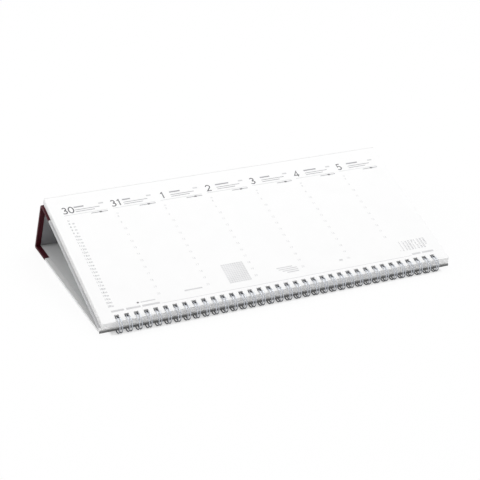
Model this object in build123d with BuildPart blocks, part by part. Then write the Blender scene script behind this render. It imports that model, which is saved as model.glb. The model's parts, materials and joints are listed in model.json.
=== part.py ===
"""Weekly desk calendar: punched leaves on a twin-loop wire, on a cloth-hinged stand of three boards.

Millimetres. X runs along the wire, Y from the user's edge to the back, and Z up from the desk.
The origin is on the desk, under the middle of the calendar.
"""
import math
import os

from build123d import *

# Leaves and the backing card under them
leaf_width = 325.0
leaf_depth = 152.0
leaf_thickness = 0.10
leaf_air = 0.01
leaf_slope = 17.8
card_thickness = 0.30
leaves_by_month = {
    "january": 4, "february": 4, "march": 5, "april": 4, "may": 4, "june": 5,
    "july": 4, "august": 4, "september": 5, "october": 4, "november": 4, "december": 5,
}

# Punched holes, three to the inch
hole_count = 36
hole_pitch = 8.467
hole_width = 4.0
hole_length = 4.0
hole_clearance = 0.2

# Twin-loop wire
wire_diameter = 0.9
binding_slack = 2.57
finger_bend_radius = 1.15
root_bend_radius = 1.2
tip_gap = 0.7

# Boards, papers and cloth of the stand
board_thickness = 1.6
board_overhang = 1.5
paper_thickness = 0.2
lining_thickness = 0.2
cloth_thickness = 0.4
side_turn_in = 4.0
front_turn_in = 12.0
seam_gap = 0.1
board_clearance = 0.2

# Shape of the stand
spine_lean = 68.9
heel_radius = 1.5
crest_radius = 5.0
crest_margin = 1.3
cloth_on_base = 28.0
cloth_on_top = 22.0
base_front_step = 1.04
base_web = 1.66
top_front_step = 1.0
apex_gap = 0.24
wire_seat_clearance = 0.05

# How far a cutting tool runs past what it cuts
overrun = 1.0

# Heights of the stack: week leaf, month leaves, card, then the top panel and the base panel
leaf_pitch = leaf_thickness + leaf_air
leaf_count = 1 + sum(leaves_by_month.values())
stack_height = leaf_count * leaf_pitch + card_thickness
inner_face = cloth_thickness + board_thickness
turned_face = inner_face + cloth_thickness
top_panel = inner_face + lining_thickness
base_panel = paper_thickness + board_thickness + lining_thickness
block_height = stack_height + top_panel

# Rings of the wire, which stand on the desk and carry the front edge of the base panel
wire_radius = wire_diameter / 2
ring_radius = (block_height + base_panel + binding_slack) / 2
ring_outer = ring_radius + wire_radius
ring_inner = ring_radius - wire_radius
ring_z = ring_outer
base_hole_front = base_front_step + base_web
base_lift = ring_z - math.sqrt(ring_inner**2 - base_hole_front**2) + wire_seat_clearance
base_top = base_lift + base_panel

# Leaves above the ring centre, set by the top panel's lip clearing the base panel
slope = math.radians(leaf_slope)
lean = math.radians(spine_lean)
lip_height = ring_z + top_front_step * math.sin(slope) - base_top - apex_gap
page_height = block_height - lip_height / math.cos(slope)
cover_height = page_height - stack_height
hole_centre = ring_outer + hole_clearance - hole_length / 2

# Corners of the triangle, measured from the ring centre: crest at the top of the spine, heel at its foot
top_length = leaf_depth + crest_margin
crest_y = top_length * math.cos(slope) - cover_height * math.sin(slope)
crest_z = ring_z + top_length * math.sin(slope) + cover_height * math.cos(slope)
heel_y = crest_y + crest_z / math.tan(lean)
spine_length = crest_z / math.sin(lean)
base_rise = base_lift - (cloth_thickness - paper_thickness)
tilt = math.atan2(base_rise, heel_y - base_hole_front)
base_length = (heel_y - base_front_step) / math.cos(tilt)
heel_angle = lean - tilt
crest_angle = math.pi - lean - slope
heel_tangent = heel_radius / math.tan(heel_angle / 2)
crest_tangent = crest_radius / math.tan(crest_angle / 2)

# The origin is halfway between the front of the rings and the back of the heel
rear_reach = heel_y - heel_tangent * math.cos(tilt) + heel_radius * math.sin(tilt) + heel_radius
ring_y = ring_outer - (rear_reach + ring_outer) / 2

# Page plane through the ring centre, and the three panels: local Y from the hinge, local Z into the hollow
page = Plane((0, ring_y, ring_z), x_dir=(1, 0, 0), z_dir=(0, -math.sin(slope), math.cos(slope)))
heel = (0, ring_y + heel_y, 0)
crest = (0, ring_y + crest_y, crest_z)
base = Plane(heel, x_dir=(-1, 0, 0), z_dir=(0, math.sin(tilt), math.cos(tilt)))
spine = Plane(heel, x_dir=(1, 0, 0), z_dir=(0, -math.sin(lean), -math.cos(lean)))
top = Plane(crest, x_dir=(1, 0, 0), z_dir=(0, math.sin(slope), -math.cos(slope)))

# Lengths along the panels, from their hinges
board_width = leaf_width + 2 * board_overhang
cloth_width = board_width + 2 * cloth_thickness
window_width = board_width - 2 * side_turn_in
base_start = heel_tangent + board_clearance
spine_start = (turned_face + board_clearance + inner_face * math.cos(heel_angle)) / math.sin(heel_angle)
spine_end = spine_length - crest_tangent - board_clearance
top_start = crest_tangent + board_clearance
top_front = top_length - top_front_step
base_hole_place = base_length - base_web - hole_length / 2
top_hole_place = top_length - hole_centre

os.makedirs("parts", exist_ok=True)


def finish(piece, name):
    """Label one finished piece and write it."""
    piece.label = name
    export_step(piece, f"parts/{name}.step")


def hole_row(place, mode=Mode.SUBTRACT):
    """Row of punched holes on the current sketch, centred at that local Y."""
    with Locations((0, place)):
        with GridLocations(hole_pitch, 0, hole_count, 1):
            Rectangle(hole_width, hole_length, mode=mode)


def strip(width, start, end):
    """Rectangle on the current sketch, centred on the calendar, from one local Y to another."""
    with Locations((0, start)):
        Rectangle(width, end - start, align=(Align.CENTER, Align.MIN))


def sheets(first, count, thickness):
    """Punched sheets of the leaves' size, stacked down from the given place in the stack."""
    tops = [page.offset(page_height - (first + step) * leaf_pitch) for step in range(count)]
    with BuildPart() as stack:
        with BuildSketch(*tops):
            strip(leaf_width, 0, leaf_depth)
            hole_row(hole_centre)
        extrude(amount=-thickness, clean=False)
    return stack.part


def board(panel, start, end, hole_place=None):
    """Grey board of one panel, punched where the wire goes through it."""
    with BuildPart() as slab:
        with BuildSketch(panel.offset(cloth_thickness)):
            strip(board_width, start, end)
            if hole_place is not None:
                hole_row(hole_place)
        extrude(amount=board_thickness)
    return slab.part


def cover_paper(panel, start, end, hole_place):
    """Paper on the outside of a board, folded round its front and side edges and turned in behind them."""
    with BuildPart() as cover:
        with BuildSketch(panel.offset(cloth_thickness - paper_thickness)):
            strip(board_width + 2 * paper_thickness, start, end)
        extrude(amount=board_thickness + 2 * paper_thickness)
        with BuildSketch(panel.offset(cloth_thickness)):
            strip(board_width, start - overrun, end - paper_thickness)
        extrude(amount=board_thickness, mode=Mode.SUBTRACT)
        with BuildSketch(panel.offset(inner_face)):
            strip(window_width, start - overrun, end - front_turn_in)
        extrude(amount=overrun, mode=Mode.SUBTRACT)
        with BuildSketch(panel):
            hole_row(hole_place, mode=Mode.ADD)
        extrude(amount=turned_face + overrun, mode=Mode.SUBTRACT)
    return cover.part


def lining(panel, start, end):
    """Lining paper pasted on the inside of a board, between the turned-in edges."""
    with BuildPart() as sheet:
        with BuildSketch(panel.offset(inner_face)):
            strip(window_width - 2 * seam_gap, start, end)
        extrude(amount=lining_thickness)
    return sheet.part


def section_point(panel, along, depth):
    """Y and Z of a point of a panel's section."""
    point = panel.from_local_coords((0, along, depth))
    return (point.Y, point.Z)


def section_row(depth):
    """Points along the inside of the cloth at one depth, from the base panel to the top panel."""
    return [
        section_point(base, cloth_on_base, depth),
        section_point(base, depth / math.tan(heel_angle / 2), depth),
        section_point(top, depth / math.tan(crest_angle / 2), depth),
        section_point(top, cloth_on_top, depth),
    ]


def ring_point(x, angle, along=0.0):
    """Point of the wire's centre line, moved along the ring's tangent where it leaves the ring."""
    y = ring_y + ring_radius * math.cos(angle) - along * math.sin(angle)
    z = ring_z + ring_radius * math.sin(angle) + along * math.cos(angle)
    return (x, y, z)


# Leaf of the week, which turns over the wire
finish(sheets(0, 1, leaf_thickness), "week_leaf")

# The other leaves of the year, one node for each month
first_leaf = 1
for month, month_leaves in leaves_by_month.items():
    finish(sheets(first_leaf, month_leaves, leaf_thickness), f"leaves_{month}")
    first_leaf += month_leaves

# Backing card at the bottom of the stack
finish(sheets(leaf_count, 1, card_thickness), "backing_card")

# Boards of the base, the spine and the top
finish(board(base, base_start, base_length - paper_thickness, base_hole_place), "base_board")
finish(board(spine, spine_start, spine_end), "spine_board")
finish(board(top, top_start, top_front - paper_thickness, top_hole_place), "top_board")

# Cover papers in front of the cloth
finish(cover_paper(base, cloth_on_base + seam_gap, base_length, base_hole_place), "base_cover_paper")
finish(cover_paper(top, cloth_on_top + seam_gap, top_front, top_hole_place), "top_cover_paper")

# Lining papers of the hollow, which meet over the joints at the heel and the crest
lining_face = inner_face + lining_thickness
heel_lining = lining_face / math.tan(heel_angle / 2) + seam_gap
crest_lining = lining_face / math.tan(crest_angle / 2) + seam_gap
finish(lining(base, heel_lining, base_length - front_turn_in - seam_gap), "base_lining")
finish(lining(spine, heel_lining, spine_length - crest_lining), "spine_lining")
finish(lining(top, crest_lining, top_front - front_turn_in - seam_gap), "top_lining")

# Cloth round the back of all three boards, with its two ends turned in
side = Plane((-cloth_width / 2, 0, 0), x_dir=(0, 1, 0), z_dir=(1, 0, 0))
ends = (side, side.offset(cloth_width - cloth_thickness))
turn_in_length = side_turn_in + cloth_thickness
turn_ins = (side, side.offset(cloth_width - turn_in_length))
outside = [
    section_point(base, cloth_on_base, 0),
    section_point(base, 0, 0),
    section_point(top, 0, 0),
    section_point(top, cloth_on_top, 0),
]
with BuildPart() as spine_cloth:
    with BuildSketch(side):
        with BuildLine():
            FilletPolyline(*outside, radius=(heel_radius, crest_radius))
            offset(amount=cloth_thickness, side=Side.LEFT)
        make_face()
    extrude(amount=cloth_width)
    with BuildSketch(*ends):
        with BuildLine():
            FilletPolyline(*outside, radius=(heel_radius, crest_radius))
            Polyline(outside[-1], *reversed(section_row(turned_face)), outside[0])
        make_face()
    extrude(amount=cloth_thickness)
    with BuildSketch(*turn_ins):
        Polygon(*section_row(inner_face), *reversed(section_row(turned_face)), align=None)
    extrude(amount=turn_in_length)
finish(spine_cloth.part, "spine_cloth")

# Twin-loop wire: its root runs lie in the gap between the top and base panels, where no leaf turns
lip_depth = block_height - page_height
run_radius = math.hypot(ring_radius, root_bend_radius)
run_sine = (lip_depth + ring_z - base_top) / (2 * run_radius * math.cos(slope / 2))
run_angle = slope / 2 - math.asin(run_sine)
root_angle = run_angle + math.atan2(root_bend_radius, ring_radius)
tip_reach = math.atan2(finger_bend_radius, ring_radius) + tip_gap / ring_radius
tip_angle = run_angle - tip_reach + math.tau
quarter = (tip_angle - root_angle) / 4
bend_share = math.sqrt(0.5)
run_x = hole_pitch / 2
bend_x = finger_bend_radius + root_bend_radius
bend_middle_x = bend_x - root_bend_radius * bend_share
bend_middle_drop = -root_bend_radius * bend_share
with BuildLine() as finger:
    for hand in (-1, 1):
        leg_x = hand * finger_bend_radius
        run_end = ring_point(hand * bend_x, root_angle, -root_bend_radius)
        bend_middle = ring_point(hand * bend_middle_x, root_angle, bend_middle_drop)
        Line(ring_point(hand * run_x, root_angle, -root_bend_radius), run_end)
        ThreePointArc(run_end, bend_middle, ring_point(leg_x, root_angle))
        for step in range(4):
            turn = [root_angle + quarter * (step + share) for share in (0, 0.5, 1)]
            ThreePointArc(*[ring_point(leg_x, angle) for angle in turn])
    tip = ring_point(0, tip_angle, finger_bend_radius)
    ThreePointArc(ring_point(-finger_bend_radius, tip_angle), tip, ring_point(finger_bend_radius, tip_angle))
with BuildPart() as binding_wire:
    with BuildLine() as wire_path:
        with GridLocations(hole_pitch, 0, hole_count, 1):
            add(finger.line)
    wire_line = wire_path.wire()
    with BuildSketch(Plane(wire_line @ 0, z_dir=wire_line % 0)):
        Circle(wire_radius)
    sweep(path=wire_line)
finish(binding_wire.part, "binding_wire")

# Least gap of the wire to itself, on points along two neighbouring fingers
sample_step = wire_radius
pair_length = 2 * wire_line.length / hole_count
samples = int(pair_length / sample_step)
points = [wire_line.position_at(index * sample_step, PositionMode.LENGTH) for index in range(samples)]
skip = int(math.pi * finger_bend_radius / sample_step)
least = min(
    (points[near] - points[far]).length
    for near in range(samples)
    for far in range(near + skip, samples)
)
print(f"wire: ring radius {ring_radius:.3f}, least gap to itself {least - wire_diameter:.2f}")
swept = math.pi * wire_radius**2 * wire_line.length
print(f"wire: volume {binding_wire.part.volume:.1f}, section times length {swept:.1f}")
print(f"ring centre: Y {ring_y:.3f}, Z {ring_z:.3f}; leaves {page_height:.3f} over it")
print(f"base panel: lift {base_lift:.3f}, tilt {math.degrees(tilt):.3f} degrees, heel Y {heel[1]:.3f}")
print(f"crest: Y {crest[1]:.3f}, Z {crest_z:.3f}")
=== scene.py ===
"""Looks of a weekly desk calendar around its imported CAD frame: paper, print, wire, cloth and a plain stage.

Metres, in the CAD frame. On a leaf, "across" runs along the wire from the middle of the leaf, "up" runs
from its front edge to its back edge, and "over" stands off the face of the top leaf.
"""
import json
import math

import bmesh
import bpy
from bpy.props import FloatProperty, FloatVectorProperty, IntProperty, PointerProperty
from mathutils import Matrix, Vector

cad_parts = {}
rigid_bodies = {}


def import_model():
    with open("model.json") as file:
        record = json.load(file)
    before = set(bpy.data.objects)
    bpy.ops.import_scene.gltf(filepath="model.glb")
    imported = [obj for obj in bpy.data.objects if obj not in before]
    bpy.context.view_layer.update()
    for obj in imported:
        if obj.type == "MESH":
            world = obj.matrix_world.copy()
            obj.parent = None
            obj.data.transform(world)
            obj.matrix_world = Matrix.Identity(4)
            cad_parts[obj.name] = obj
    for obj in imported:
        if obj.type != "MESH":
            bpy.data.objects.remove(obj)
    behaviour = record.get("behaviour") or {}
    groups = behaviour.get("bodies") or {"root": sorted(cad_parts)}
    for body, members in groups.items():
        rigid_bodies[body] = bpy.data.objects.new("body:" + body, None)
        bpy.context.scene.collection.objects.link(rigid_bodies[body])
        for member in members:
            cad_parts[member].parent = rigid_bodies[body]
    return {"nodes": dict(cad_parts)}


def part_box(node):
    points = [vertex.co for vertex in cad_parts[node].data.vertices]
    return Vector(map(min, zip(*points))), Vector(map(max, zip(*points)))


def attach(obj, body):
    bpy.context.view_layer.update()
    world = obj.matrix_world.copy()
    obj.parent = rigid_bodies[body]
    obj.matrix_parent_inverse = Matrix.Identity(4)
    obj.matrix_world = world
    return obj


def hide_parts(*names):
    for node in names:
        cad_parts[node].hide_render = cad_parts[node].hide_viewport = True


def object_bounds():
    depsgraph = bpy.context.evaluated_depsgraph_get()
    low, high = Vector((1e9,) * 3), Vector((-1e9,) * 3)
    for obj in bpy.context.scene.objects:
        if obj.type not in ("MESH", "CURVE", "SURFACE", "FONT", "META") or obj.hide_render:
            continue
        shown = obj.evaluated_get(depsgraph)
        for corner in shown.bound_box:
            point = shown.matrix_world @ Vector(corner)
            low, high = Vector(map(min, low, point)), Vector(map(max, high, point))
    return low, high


bl_info = {
    "name": "Desk Calendar Looks",
    "version": (1, 0, 0),
    "blender": (4, 5, 0),
    "location": "View3D > Sidebar > Calendar",
    "description": "Dresses the packed desk calendar in paper, print, wire and cloth",
    "category": "Object",
}

for leftover in list(bpy.data.objects):
    bpy.data.objects.remove(leftover)
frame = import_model()
cad_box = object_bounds()

MM = 0.001
STAND = "stand"
WEEK = "week_leaf"
MONTH_LEAVES = {
    "january": 4, "february": 4, "march": 5, "april": 4, "may": 4, "june": 5,
    "july": 4, "august": 4, "september": 5, "october": 4, "november": 4, "december": 5,
}

# Numbers printed on the week's leaf and on the next
WEEK_DATES = ("30", "31", "1", "2", "3", "4", "5")
NEXT_DATES = ("6", "7", "8", "9", "10", "11", "12")
DAYS_IN_WEEK = 7
FIRST_HOUR = 8
HOUR_ROWS = 13
SHORT_HOUR_ROWS = 11
FULL_HOUR = "00"
HALF_HOUR = "30"

# Print of a day, in millimetres from the left edge of its column and from the front edge of the leaf.
# A bar has its start, foot, length and height; the length of the day's own bar is given for each day.
DAY_BAR = (11.4, 134.9, 1.5)
DAY_BAR_LENGTHS = (9.0, 7.5, 10.0, 13.0, 9.5, 12.5, 11.5)
DATE_SHIFTS = (0.0, 0.0, 2.0, 1.2, 0.3, 0.0, 0.0)
HEADER_BARS = ((11.4, 131.9, 22.5, 0.7), (11.4, 129.7, 17.5, 0.7), (24.0, 125.0, 15.2, 0.8))
PALE_HEADER_BARS = ((34.0, 135.1, 4.4, 1.6), (0.0, 126.9, 39.4, 0.5))
HEADER_MARK = (31.6, 124.6, 2.2, 1.6)
HOUR_INSET = 0.6

# Print at the foot of the leaf, in millimetres from its middle and from its front edge
NOTE_BARS = (
    (3.5, 23.5, 15.0, 1.1), (4.6, 21.4, 17.6, 1.1), (7.5, 19.3, 14.8, 1.1), (11.0, 17.2, 11.2, 1.1),
    (-83.5, 18.2, 16.0, 1.5), (-124.0, 15.0, 13.0, 1.1), (62.4, 19.4, 3.4, 2.0),
)
FOOT_BARS = (
    (-151.0, 10.2, 11.0, 2.1), (-138.0, 10.2, 12.5, 2.1), (-124.0, 10.2, 15.5, 2.1),
    (-107.5, 10.0, 237.0, 0.4), (131.0, 10.6, 8.5, 2.1), (141.0, 10.6, 11.5, 2.1),
)
NOTE_MARK = (-127.2, 14.9, 1.7, 1.5)
SQUARE_FIELD = {"left": -42.6, "foot": 17.4, "columns": 10, "rows": 11, "pitch": 2.05, "side": 1.75}
SMALL_MONTHS = {"left": 122.4, "top": 27.4, "column": 3.0, "row": 1.7, "first_cell": 6, "days": (31, 31)}

# Angle between the points of a bow in the large dates and in the many small numbers, the step from digit
# to digit as a share of their height, the least mitre of a stroke, and the height of the ink's middle over
# the paper as a share of its thickness
DATE_STEP = 18.0
HOUR_STEP = 40.0
DIGIT_STEP = 0.70
LEAST_MITRE = 0.5
INK_LIFT = 0.25

# Papers: fineness of the fibres, their contrast, the gloss, and the relief in metres
PAPER_FEELS = {
    "leaf": (2600.0, 0.03, 0.72, 0.00002),
    "ink": (3200.0, 0.35, 0.5, 0.00001),
    "card": (1500.0, 0.10, 0.7, 0.00003),
    "cover": (1800.0, 0.06, 0.55, 0.00002),
    "lining": (1400.0, 0.10, 0.75, 0.00003),
    "spine_lining": (1400.0, 0.12, 0.75, 0.00003),
    "board": (900.0, 0.45, 0.8, 0.00008),
}

# Bands of another tint, in millimetres: from an edge inwards, where the band starts and where it is full
# Painted shade: grey band along the back edge of the week's leaf
LEAF_SHADE_BAND = (0.9, 0.3)
# Top board: band where its front edge keeps a lighter tint than the painted shade on the rest of its cover
TOP_EDGE_BAND = (1.4, 1.0)
# Painted shade: dark band on the base's front edge, under the leaves
BASE_SHADE_BAND = (0.25, 0.1)
# On the wire, painted shade: the height below which the loops' lower parts are darkened, and the band behind
# the rings' axis that darkens the wire inside the holes
WIRE_SHADE_FOOT = 1.5
WIRE_SHADE_BAND = (1.9, 2.9)

# Stations along the cloth: millimetres beside a fold, shares of the spine, and steps round the heel, across
# the pressed joint, round the crest and round the corners of its ends
NEAR_FOLD = (4.0, 2.0, 0.8)
SPINE_SHARES = (0.15, 0.3, 0.45, 0.6, 0.75)
HEEL_STEPS = 8
GROOVE_STEPS = 8
CREST_STEPS = 12
END_STEPS = 3
# Wear of the cloth at its edges, on its folds and beside them, and its fall across the pressed joint
EDGE_WEAR = 0.3
FOLD_WEAR = 1.0
NEAR_WEAR = 0.4
GROOVE_WEAR = 0.5
GROOVE_FALL = 0.05
CLOTH_WELD = 0.002 * MM

# Sharpest angles in degrees that are shaded smooth
WIRE_CREASE = 60.0
CLOTH_CREASE = 50.0

# Floor: share of plain white that the camera and mirrors see, share of it that gives way to the shadow under
# the calendar, and in millimetres that shadow's inset from the sides and from front and back, and its fade
FLOOR_SEEN = 0.92
FLOOR_MIRRORED = 0.3
FLOOR_SHADE = 0.5
FLOOR_INSETS = (8.0, 2.0)
FLOOR_FADE = 3.0
# Lamps: place and width
LAMPS = {
    "overhead": ((0.25, 0.35, 1.8), 1.8),
    "side": ((-1.7, 0.25, 0.75), 1.0),
    "front": ((0.5, -1.9, 0.25), 0.8),
}
CAMERA_CLIP = (0.05, 100.0)
WHITE = (1.0, 1.0, 1.0, 1.0)


def size_prop(name, description, millimetres):
    """Length property with its default given in millimetres."""
    return FloatProperty(
        name=name, description=description, default=millimetres * MM, unit="LENGTH", precision=5)


def angle_prop(name, description, degrees):
    """Angle property with its default given in degrees."""
    return FloatProperty(name=name, description=description, default=math.radians(degrees), subtype="ANGLE")


def number_prop(name, description, default):
    """Plain number or share."""
    return FloatProperty(name=name, description=description, default=default)


def colour_prop(name, description, default):
    """Colour property."""
    return FloatVectorProperty(
        name=name, description=description, default=default, subtype="COLOR", size=3, min=0.0, max=1.0)


class LeafSizes(bpy.types.PropertyGroup):
    """Sizes of the leaves and of their punched holes"""
    width: size_prop("Leaf width", "Length of a leaf along the wire", 325.0)
    depth: size_prop("Leaf depth", "Depth of a leaf from the wire to the back", 152.0)
    thickness: size_prop("Leaf thickness", "Thickness of one leaf", 0.10)
    pitch: size_prop("Leaf pitch", "Height of one leaf in the stack", 0.11)
    slope: angle_prop("Slope", "Slope of the leaves", 17.8)
    front_y: size_prop("Front edge Y", "Place of the top leaf's front edge", -80.978)
    front_z: size_prop("Front edge Z", "Height of the top leaf's front edge", 11.458)
    hole_count: IntProperty(name="Holes", description="Punched holes in the row", default=36, min=1)
    hole_pitch: size_prop("Hole pitch", "Spacing of the holes, three to the inch", 8.467)
    hole_width: size_prop("Hole width", "Width of a hole along the wire", 4.0)
    hole_length: size_prop("Hole length", "Length of a hole", 4.0)
    hole_centre: size_prop("Hole centre", "Middle of a hole behind the front edge", 5.1)
    stray_across: size_prop("Stray across", "How far a leaf may lie to one side in the stack", 0.12)
    stray_up: size_prop("Stray up", "How far a leaf may lie forward or back in the stack", 0.10)


class WireSizes(bpy.types.PropertyGroup):
    """Sizes of the twin-loop wire"""
    diameter: size_prop("Wire diameter", "Diameter of the wire", 0.9)
    ring_radius: size_prop("Ring radius", "Radius of a ring to the middle of the wire", 6.45)
    ring_y: size_prop("Ring Y", "Place of the rings' axis", -79.515)
    ring_z: size_prop("Ring Z", "Height of the rings' axis", 6.9)
    tip_radius: size_prop("Tip radius", "Radius of a finger's closed end", 1.15)
    root_radius: size_prop("Root radius", "Radius of the bend between a finger and the straight run", 1.2)
    root_angle: angle_prop("Root angle", "Where a finger leaves its root", -12.46)
    tip_angle: angle_prop("Tip angle", "Where a finger's closed end begins", 320.67)


class ClothSizes(bpy.types.PropertyGroup):
    """Sizes of the cloth round the back of the stand"""
    width: size_prop("Cloth width", "Outside width of the cloth, over its turned-in ends", 328.8)
    thickness: size_prop("Cloth thickness", "Thickness of the cloth", 0.4)
    folded: size_prop("Folded depth", "Depth from the outside to the inside of the turned-in ends", 2.4)
    turn_in: size_prop("Turn-in", "Width of the turned-in ends", 4.4)
    fold_radius: size_prop("Fold radius", "Softness of the folds at the ends", 0.35)
    on_base: size_prop("On base", "Reach of the cloth on the base", 28.0)
    on_top: size_prop("On top", "Reach of the cloth on the top board", 22.0)
    heel_y: size_prop("Heel Y", "Place of the foot of the spine", 87.109)
    crest_y: size_prop("Crest Y", "Place of the top of the spine", 66.857)
    crest_z: size_prop("Crest Z", "Height of the top of the spine", 52.484)
    base_tilt: angle_prop("Base tilt", "Tilt of the base board", 0.486)
    heel_radius: size_prop("Heel radius", "Radius of the fold at the foot", 1.5)
    crest_radius: size_prop("Crest radius", "Radius of the fold at the top", 5.0)
    groove: size_prop("Groove", "Depth of the pressed joint over the heel", 0.25)
    groove_place: size_prop("Groove place", "Middle of the pressed joint over the heel", 2.9)
    groove_reach: size_prop("Groove reach", "Half the width of the pressed joint", 0.65)


class PrintSizes(bpy.types.PropertyGroup):
    """Sizes of the print on the leaves"""
    ink: size_prop("Ink", "Thickness of the ink on the week's leaf", 0.02)
    next_ink: size_prop("Next ink", "Thickness of the ink on the leaf underneath", 0.008)
    first_column: size_prop("First column", "Left edge of the first day", -152.3)
    column_pitch: size_prop("Column pitch", "Spacing of the days", 44.45)
    date_height: size_prop("Date height", "Height of a date number", 8.0)
    date_foot: size_prop("Date foot", "Foot of the date numbers", 129.0)
    date_weight: number_prop("Date weight", "Stroke of a date as a share of its height", 0.135)
    hour_weight: number_prop("Hour weight", "Stroke of an hour as a share of its height", 0.14)
    day_weight: number_prop("Day weight", "Stroke in the small months as a share of their height", 0.17)
    hour_height: size_prop("Hour height", "Height of an hour number", 2.1)
    minute_height: size_prop("Minute height", "Height of a minute number", 1.5)
    minute_step: size_prop("Minute step", "How far the minutes stand beside the hours", 3.6)
    hour_foot: size_prop("First hour", "Foot of the first hour", 115.6)
    hour_pitch: size_prop("Hour pitch", "Spacing of the hours", 7.95)
    day_height: size_prop("Day height", "Height of a number in the small months", 1.3)


class Finishes(bpy.types.PropertyGroup):
    """Colours of the papers, inks, cloth and wire"""
    leaf_white: colour_prop("Leaf paper", "White writing paper", (0.94, 0.94, 0.94))
    card_white: colour_prop("Backing card", "Plain grey-white card", (0.80, 0.80, 0.78))
    cover_grey: colour_prop("Cover paper", "Paper over the base board", (0.84, 0.84, 0.84))
    # Painted shade: the top cover paper is darkened at the board's ends; its front edge keeps the lighter
    # tint below
    board_cover: colour_prop("Top cover shade", "Paper over the top board darkened as painted shade", (0.56, 0.56, 0.57))
    front_edge: colour_prop("Front edge", "Lighter front edge of the top board", (0.90, 0.90, 0.90))
    # Painted shade: dark tint of the base's front edge
    raw_edge: colour_prop("Raw edge", "Front edge of the base darkened as painted shade", (0.17, 0.17, 0.17))
    # Painted shade: grey tint of the week's leaf along its back edge
    leaf_edge: colour_prop("Leaf edge", "Back edge of the leaf greyed as painted shade", (0.74, 0.74, 0.74))
    lining_grey: colour_prop("Lining paper", "Paper inside the stand", (0.77, 0.78, 0.78))
    # Painted shade: the spine's lining is the same paper as the other linings, darkened
    spine_grey: colour_prop("Spine lining shade", "Lining paper inside the spine darkened as painted shade", (0.27, 0.27, 0.28))
    board_grey: colour_prop("Grey board", "Raw board in the holes", (0.36, 0.35, 0.33))
    cloth_red: colour_prop("Book cloth", "Dark red cloth", (0.050, 0.001, 0.006))
    cloth_worn: colour_prop("Worn cloth", "Cloth rubbed along its folds", (0.085, 0.008, 0.016))
    wire_silver: colour_prop("Wire", "Silver coated wire", (0.50, 0.52, 0.56))
    # Painted shade: dark tint of the loops' lower parts and of the wire inside the holes
    wire_rubbed: colour_prop("Wire shade", "Wire darkened as painted shade at the loops' feet and in the holes", (0.08, 0.085, 0.10))
    ink_dark: colour_prop("Dark ink", "Ink of the date numbers", (0.13, 0.13, 0.14))
    ink_grey: colour_prop("Grey ink", "Ink of the first hours and the lines", (0.36, 0.36, 0.38))
    ink_pale: colour_prop("Pale ink", "Ink of the other hours and the foot", (0.66, 0.66, 0.67))
    ink_faint: colour_prop("Faint ink", "Ink of the field of squares", (0.72, 0.72, 0.73))
    floor_white: colour_prop("Floor", "Plain pale floor", (0.96, 0.96, 0.96))


class StageSizes(bpy.types.PropertyGroup):
    """Camera and lamps"""
    camera_place: FloatVectorProperty(
        name="Camera place", description="Where the camera stands", size=3, subtype="TRANSLATION",
        default=(-0.527088, -1.072043, 0.627480))
    camera_turn: FloatVectorProperty(
        name="Camera turn", description="How the camera is turned", size=3, subtype="EULER",
        default=(math.radians(62.98526), math.radians(-2.18964), math.radians(-24.89934)))
    lens: number_prop("Lens", "Focal length in millimetres on a 36 mm sensor", 114.066)
    floor_side: FloatProperty(name="Floor side", description="Side of the floor", default=16.0, unit="LENGTH")
    sky: number_prop("Sky", "Strength of the even light from all round", 0.55)
    overhead: number_prop("Overhead", "Power of the large lamp overhead", 18.2)
    side: number_prop("Side", "Power of the soft lamp at the left", 6.0)
    front: number_prop("Front", "Power of the weak lamp in front", 4.8)


class CalendarSettings(bpy.types.PropertyGroup):
    """Everything that can be changed on the calendar's looks"""
    leaf: PointerProperty(type=LeafSizes)
    wire: PointerProperty(type=WireSizes)
    cloth: PointerProperty(type=ClothSizes)
    ink: PointerProperty(type=PrintSizes)
    finish: PointerProperty(type=Finishes)
    stage: PointerProperty(type=StageSizes)


def settings():
    """Settings of the calendar in this scene."""
    return bpy.context.scene.desk_calendar


# Meshes and places

def leaf_matrix(over):
    """Turns a place on the leaf into the CAD frame, from a height over the top leaf."""
    leaf = settings().leaf
    turn = Matrix.Rotation(leaf.slope, 4, "X")
    return Matrix.Translation((0.0, leaf.front_y, leaf.front_z)) @ turn @ Matrix.Translation((0.0, 0.0, over))


def new_piece(name, data):
    """Object at the origin that shows a mesh, a lamp or a camera."""
    piece = bpy.data.objects.new(name, data)
    bpy.context.scene.collection.objects.link(piece)
    return piece


def mesh_from_bmesh(name, shape):
    """Plain mesh from a bmesh, which is freed."""
    mesh = bpy.data.meshes.new(name)
    shape.to_mesh(mesh)
    shape.free()
    return mesh


def keep_result(piece):
    """Replaces an object's mesh and modifiers by their result."""
    depsgraph = bpy.context.evaluated_depsgraph_get()
    result = bpy.data.meshes.new_from_object(
        piece.evaluated_get(depsgraph), preserve_all_data_layers=True, depsgraph=depsgraph)
    result.name = piece.name
    piece.modifiers.clear()
    piece.data = result


def smooth_piece(piece, degrees):
    """Smooth shading, with edges sharper than an angle kept."""
    piece.data.shade_smooth()
    piece.data.set_sharp_from_angle(angle=math.radians(degrees))


def dress(node_name, material):
    """Gives a CAD node that stays in view its finished material."""
    for slot in frame["nodes"][node_name].material_slots:
        slot.material = material


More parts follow.
